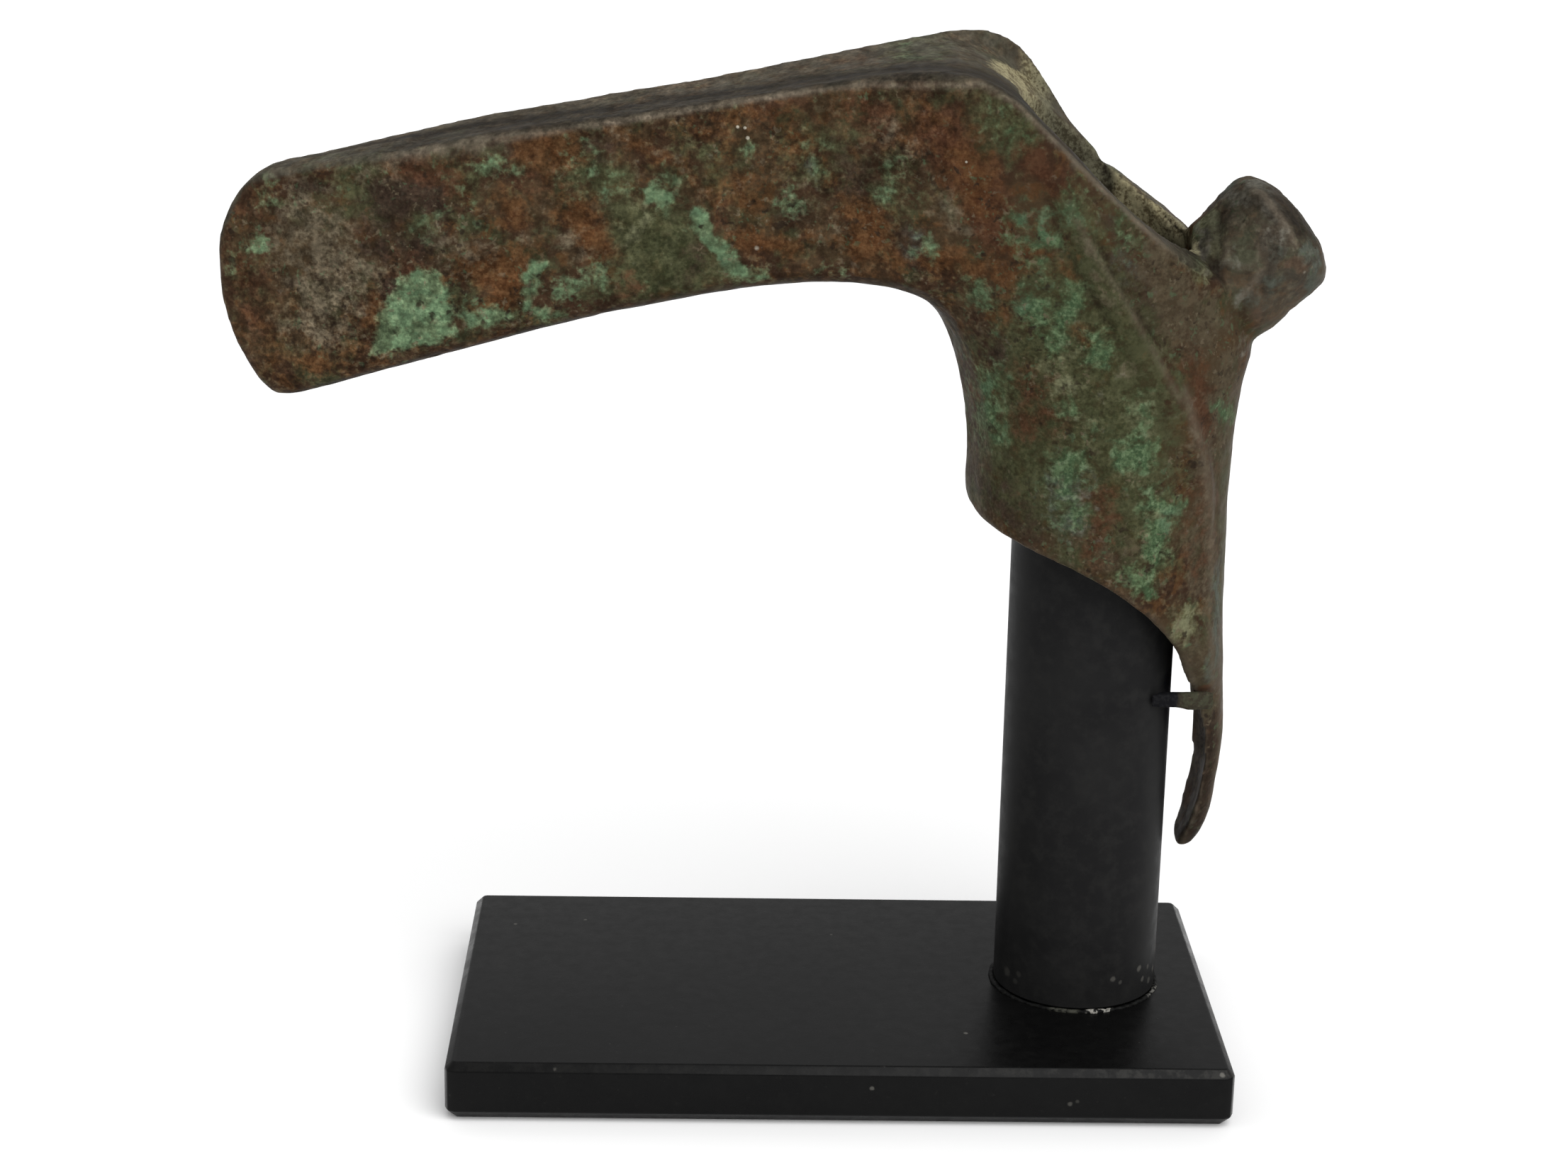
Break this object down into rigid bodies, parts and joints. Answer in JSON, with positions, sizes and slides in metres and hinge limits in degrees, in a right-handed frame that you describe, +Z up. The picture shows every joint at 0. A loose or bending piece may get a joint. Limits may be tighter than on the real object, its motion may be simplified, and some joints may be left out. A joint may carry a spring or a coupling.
{
  "type": "bronze adze",
  "caption": "Cast bronze adze head with a long flat blade, slanted shaft socket, back knob and tongue, held on a post and base plate.",
  "frame": {"origin": "centre of the base plate's underside", "axes": "+Z up along the post, -X towards the blade's cutting edge, +Y away from the side that is looked at"},
  "size_m": [0.1569, 0.0628, 0.1517],
  "materials": {
    "bronze": "corroded cast bronze with brown, red-brown and green patina",
    "black_paint": "satin black paint"
  },
  "bodies": {
    "root": {"base_plate": "black_paint", "post": "black_paint", "prong": "black_paint", "adze_head": "bronze"}
  },
  "joints": []
}
